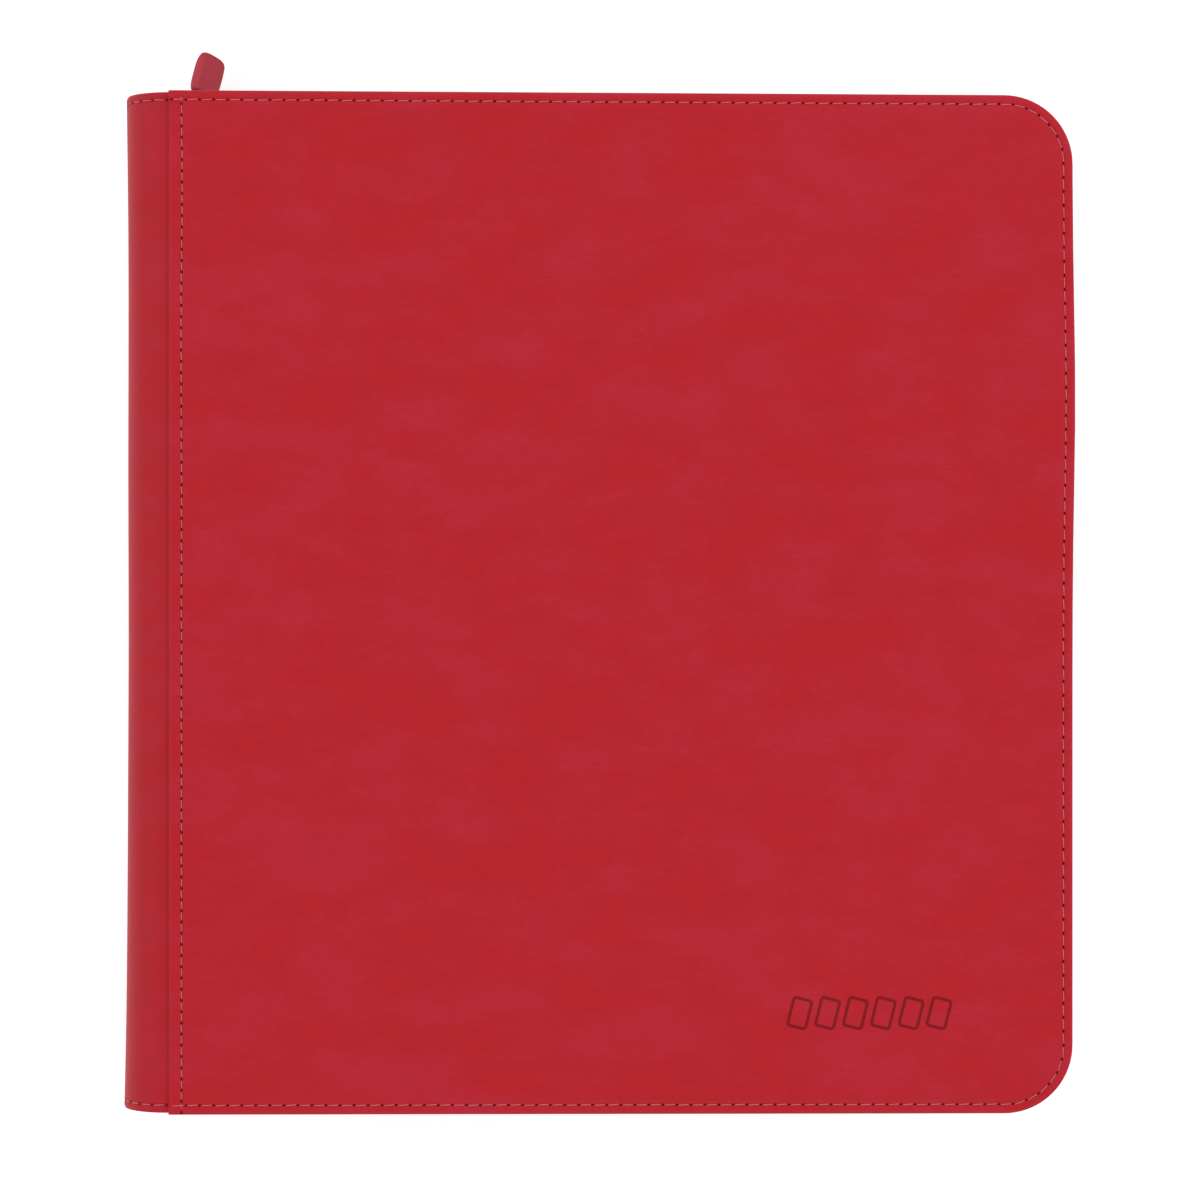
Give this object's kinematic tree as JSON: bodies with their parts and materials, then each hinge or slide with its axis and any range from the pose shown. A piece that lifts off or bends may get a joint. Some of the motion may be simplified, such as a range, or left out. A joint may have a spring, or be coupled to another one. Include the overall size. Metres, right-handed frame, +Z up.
{
  "type": "trading card binder",
  "caption": "Zip-around card binder with a padded leatherette case, rounded spine, pocket pages and a zipper with a moulded pull.",
  "frame": {"origin": "centre of the back cover's underside, with the binder closed and lying on its back cover", "axes": "+X from the spine to the free edge, +Y from the tail to the head (the zipper pull's end), +Z up through the front cover"},
  "size_m": [0.332, 0.376, 0.038],
  "materials": {
    "leatherette_red": "fine-grained red leatherette, low gloss",
    "foam_grey": "closed-cell foam sheet",
    "greyboard": "pressed grey bookbinding board",
    "lining_black": "smooth black textile lining",
    "zip_tape_red": "woven polyester tape",
    "zip_teeth_red": "moulded teeth, colour-matched",
    "slider_red": "die-cast, painted to match",
    "pull_rubber": "moulded soft rubber, satin",
    "page_film": "black backing with clear side-loading pockets"
  },
  "bodies": {
    "back_cover": {"back_leather": "leatherette_red", "back_foam": "foam_grey", "back_board": "greyboard", "back_lining": "lining_black", "back_zip_tape": "zip_tape_red", "back_zip_teeth": "zip_teeth_red", "back_head_stop": "slider_red", "back_head_tab": "leatherette_red", "back_tail_stop": "slider_red", "back_tail_tab": "leatherette_red"},
    "spine": {"spine_leather": "leatherette_red", "spine_stiffener": "greyboard", "spine_lining": "lining_black", "page_binding": "lining_black"},
    "front_cover": {"front_leather": "leatherette_red", "front_foam": "foam_grey", "front_board": "greyboard", "front_lining": "lining_black", "front_zip_tape": "zip_tape_red", "front_zip_teeth": "zip_teeth_red", "front_head_stop": "slider_red", "front_head_tab": "leatherette_red", "front_tail_stop": "slider_red", "front_tail_tab": "leatherette_red"},
    "slider": {"slider_body": "slider_red", "slider_bail": "slider_red"},
    "pull": {"pull_hook": "slider_red", "pull_tab": "pull_rubber"},
    "page_01": {"page_01": "page_film"},
    "page_02": {"page_02": "page_film"},
    "page_03": {"page_03": "page_film"},
    "page_04": {"page_04": "page_film"},
    "page_05": {"page_05": "page_film"},
    "page_06": {"page_06": "page_film"},
    "page_07": {"page_07": "page_film"},
    "page_08": {"page_08": "page_film"},
    "page_09": {"page_09": "page_film"},
    "page_10": {"page_10": "page_film"},
    "page_11": {"page_11": "page_film"},
    "page_12": {"page_12": "page_film"},
    "page_13": {"page_13": "page_film"},
    "page_14": {"page_14": "page_film"},
    "page_15": {"page_15": "page_film"},
    "page_16": {"page_16": "page_film"},
    "page_17": {"page_17": "page_film"},
    "page_18": {"page_18": "page_film"},
    "page_19": {"page_19": "page_film"},
    "page_20": {"page_20": "page_film"}
  },
  "joints": [
    {"name": "spine_fold", "type": "hinge", "parent": "back_cover", "child": "spine", "pos_m": [-0.1488, 0, 0.0005], "axis": [0, -1, 0], "range_deg": [0, 90]},
    {"name": "front_fold", "type": "hinge", "parent": "spine", "child": "front_cover", "pos_m": [-0.1488, 0, 0.0375], "axis": [0, -1, 0], "range_deg": [0, 90]},
    {"name": "slider_travel", "type": "slide", "parent": "back_cover", "child": "slider", "axis": [1, 0, 0], "range_m": [0, 0.275]},
    {"name": "pull_swing", "type": "hinge", "parent": "slider", "child": "pull", "pos_m": [-0.1393, 0.1781, 0.019], "axis": [1, 0, 0], "range_deg": [0, 100]},
    {"name": "page_01_turn", "type": "hinge", "parent": "spine", "child": "page_01", "pos_m": [-0.1418, 0, 0.0067], "axis": [0, -1, 0], "range_deg": [-88, 0]},
    {"name": "page_02_turn", "type": "hinge", "parent": "spine", "child": "page_02", "pos_m": [-0.1418, 0, 0.008], "axis": [0, -1, 0], "range_deg": [-84, 0]},
    {"name": "page_03_turn", "type": "hinge", "parent": "spine", "child": "page_03", "pos_m": [-0.1418, 0, 0.00929], "axis": [0, -1, 0], "range_deg": [-80, 0]},
    {"name": "page_04_turn", "type": "hinge", "parent": "spine", "child": "page_04", "pos_m": [-0.1418, 0, 0.01058], "axis": [0, -1, 0], "range_deg": [-76, 0]},
    {"name": "page_05_turn", "type": "hinge", "parent": "spine", "child": "page_05", "pos_m": [-0.1418, 0, 0.01188], "axis": [0, -1, 0], "range_deg": [-72, 0]},
    {"name": "page_06_turn", "type": "hinge", "parent": "spine", "child": "page_06", "pos_m": [-0.1418, 0, 0.01317], "axis": [0, -1, 0], "range_deg": [-68, 0]},
    {"name": "page_07_turn", "type": "hinge", "parent": "spine", "child": "page_07", "pos_m": [-0.1418, 0, 0.01447], "axis": [0, -1, 0], "range_deg": [-64, 0]},
    {"name": "page_08_turn", "type": "hinge", "parent": "spine", "child": "page_08", "pos_m": [-0.1418, 0, 0.01576], "axis": [0, -1, 0], "range_deg": [-60, 0]},
    {"name": "page_09_turn", "type": "hinge", "parent": "spine", "child": "page_09", "pos_m": [-0.1418, 0, 0.01706], "axis": [0, -1, 0], "range_deg": [-56, 0]},
    {"name": "page_10_turn", "type": "hinge", "parent": "spine", "child": "page_10", "pos_m": [-0.1418, 0, 0.01835], "axis": [0, -1, 0], "range_deg": [-52, 0]},
    {"name": "page_11_turn", "type": "hinge", "parent": "spine", "child": "page_11", "pos_m": [-0.1418, 0, 0.01965], "axis": [0, -1, 0], "range_deg": [0, 52]},
    {"name": "page_12_turn", "type": "hinge", "parent": "spine", "child": "page_12", "pos_m": [-0.1418, 0, 0.02094], "axis": [0, -1, 0], "range_deg": [0, 56]},
    {"name": "page_13_turn", "type": "hinge", "parent": "spine", "child": "page_13", "pos_m": [-0.1418, 0, 0.02224], "axis": [0, -1, 0], "range_deg": [0, 60]},
    {"name": "page_14_turn", "type": "hinge", "parent": "spine", "child": "page_14", "pos_m": [-0.1418, 0, 0.02353], "axis": [0, -1, 0], "range_deg": [0, 64]},
    {"name": "page_15_turn", "type": "hinge", "parent": "spine", "child": "page_15", "pos_m": [-0.1418, 0, 0.02483], "axis": [0, -1, 0], "range_deg": [0, 68]},
    {"name": "page_16_turn", "type": "hinge", "parent": "spine", "child": "page_16", "pos_m": [-0.1418, 0, 0.02612], "axis": [0, -1, 0], "range_deg": [0, 72]},
    {"name": "page_17_turn", "type": "hinge", "parent": "spine", "child": "page_17", "pos_m": [-0.1418, 0, 0.02742], "axis": [0, -1, 0], "range_deg": [0, 76]},
    {"name": "page_18_turn", "type": "hinge", "parent": "spine", "child": "page_18", "pos_m": [-0.1418, 0, 0.02871], "axis": [0, -1, 0], "range_deg": [0, 80]},
    {"name": "page_19_turn", "type": "hinge", "parent": "spine", "child": "page_19", "pos_m": [-0.1418, 0, 0.03001], "axis": [0, -1, 0], "range_deg": [0, 84]},
    {"name": "page_20_turn", "type": "hinge", "parent": "spine", "child": "page_20", "pos_m": [-0.1418, 0, 0.0313], "axis": [0, -1, 0], "range_deg": [0, 88]}
  ],
  "couplings": [
    {"joint": "front_fold", "follows": "spine_fold", "ratio": 1},
    {"joint": "page_01_turn", "follows": "spine_fold", "ratio": -0.9777},
    {"joint": "page_02_turn", "follows": "spine_fold", "ratio": -0.9333},
    {"joint": "page_03_turn", "follows": "spine_fold", "ratio": -0.8888},
    {"joint": "page_04_turn", "follows": "spine_fold", "ratio": -0.8444},
    {"joint": "page_05_turn", "follows": "spine_fold", "ratio": -0.8},
    {"joint": "page_06_turn", "follows": "spine_fold", "ratio": -0.7555},
    {"joint": "page_07_turn", "follows": "spine_fold", "ratio": -0.7111},
    {"joint": "page_08_turn", "follows": "spine_fold", "ratio": -0.6666},
    {"joint": "page_09_turn", "follows": "spine_fold", "ratio": -0.6222},
    {"joint": "page_10_turn", "follows": "spine_fold", "ratio": -0.5777},
    {"joint": "page_11_turn", "follows": "spine_fold", "ratio": 0.5777},
    {"joint": "page_12_turn", "follows": "spine_fold", "ratio": 0.6222},
    {"joint": "page_13_turn", "follows": "spine_fold", "ratio": 0.6666},
    {"joint": "page_14_turn", "follows": "spine_fold", "ratio": 0.7111},
    {"joint": "page_15_turn", "follows": "spine_fold", "ratio": 0.7555},
    {"joint": "page_16_turn", "follows": "spine_fold", "ratio": 0.8},
    {"joint": "page_17_turn", "follows": "spine_fold", "ratio": 0.8444},
    {"joint": "page_18_turn", "follows": "spine_fold", "ratio": 0.8888},
    {"joint": "page_19_turn", "follows": "spine_fold", "ratio": 0.9333},
    {"joint": "page_20_turn", "follows": "spine_fold", "ratio": 0.9777}
  ]
}
